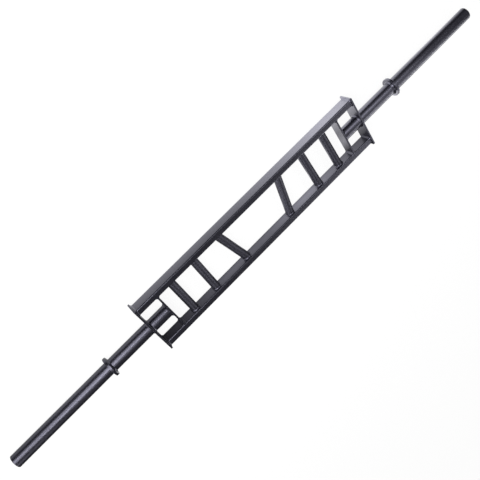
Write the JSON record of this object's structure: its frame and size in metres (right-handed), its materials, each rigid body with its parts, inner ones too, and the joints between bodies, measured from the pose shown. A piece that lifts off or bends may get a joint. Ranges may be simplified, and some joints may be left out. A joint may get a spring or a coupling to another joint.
{
  "type": "swiss bar",
  "caption": "Multi-grip barbell: a long flat steel frame with neutral and slanted cross grips between two rails, and a collared round loading sleeve at each end.",
  "frame": {"origin": "centre of the bar: on the sleeves' common axis, halfway between the two pipe ends", "axes": "+X along the bar, towards the right sleeve; +Y from the front rail to the rear rail, across the grips; +Z square to the frame"},
  "size_m": [2.35, 0.226, 0.078],
  "materials": {
    "rail_coat": "satin black powder coat on drawn steel tube",
    "sleeve_coat": "satin black powder coat on smooth steel pipe",
    "plate_coat": "satin black powder coat on cut steel flat",
    "grip_coat": "duller, finely textured black powder coat",
    "weld_coat": "satin black powder coat over a rippled weld bead",
    "plug_plastic": "black moulded plastic"
  },
  "bodies": {
    "root": {"rear_rail": "rail_coat", "front_rail": "rail_coat", "left_end_plate": "plate_coat", "right_end_plate": "plate_coat", "left_cross_plate": "plate_coat", "right_cross_plate": "plate_coat", "left_sleeve_pipe": "sleeve_coat", "right_sleeve_pipe": "sleeve_coat", "left_collar": "sleeve_coat", "right_collar": "sleeve_coat", "left_end_plug": "plug_plastic", "right_end_plug": "plug_plastic", "left_outer_grip": "grip_coat", "left_middle_grip": "grip_coat", "left_inner_grip": "grip_coat", "right_inner_grip": "grip_coat", "right_middle_grip": "grip_coat", "right_outer_grip": "grip_coat", "left_outer_rear_weld": "weld_coat", "left_outer_front_weld": "weld_coat", "left_middle_rear_weld": "weld_coat", "left_middle_front_weld": "weld_coat", "left_inner_rear_weld": "weld_coat", "left_inner_front_weld": "weld_coat", "right_inner_rear_weld": "weld_coat", "right_inner_front_weld": "weld_coat", "right_middle_rear_weld": "weld_coat", "right_middle_front_weld": "weld_coat", "right_outer_rear_weld": "weld_coat", "right_outer_front_weld": "weld_coat", "left_collar_weld": "weld_coat", "right_collar_weld": "weld_coat", "left_end_plate_inner_weld": "weld_coat", "left_end_plate_outer_weld": "weld_coat", "right_end_plate_inner_weld": "weld_coat", "right_end_plate_outer_weld": "weld_coat", "left_rear_rail_weld": "weld_coat", "left_front_rail_weld": "weld_coat", "right_rear_rail_weld": "weld_coat", "right_front_rail_weld": "weld_coat", "left_rear_cross_inner_weld": "weld_coat", "left_rear_cross_outer_weld": "weld_coat", "left_front_cross_inner_weld": "weld_coat", "left_front_cross_outer_weld": "weld_coat", "right_rear_cross_inner_weld": "weld_coat", "right_rear_cross_outer_weld": "weld_coat", "right_front_cross_inner_weld": "weld_coat", "right_front_cross_outer_weld": "weld_coat", "left_rear_root_weld": "weld_coat", "left_front_root_weld": "weld_coat", "right_rear_root_weld": "weld_coat", "right_front_root_weld": "weld_coat"}
  },
  "joints": []
}
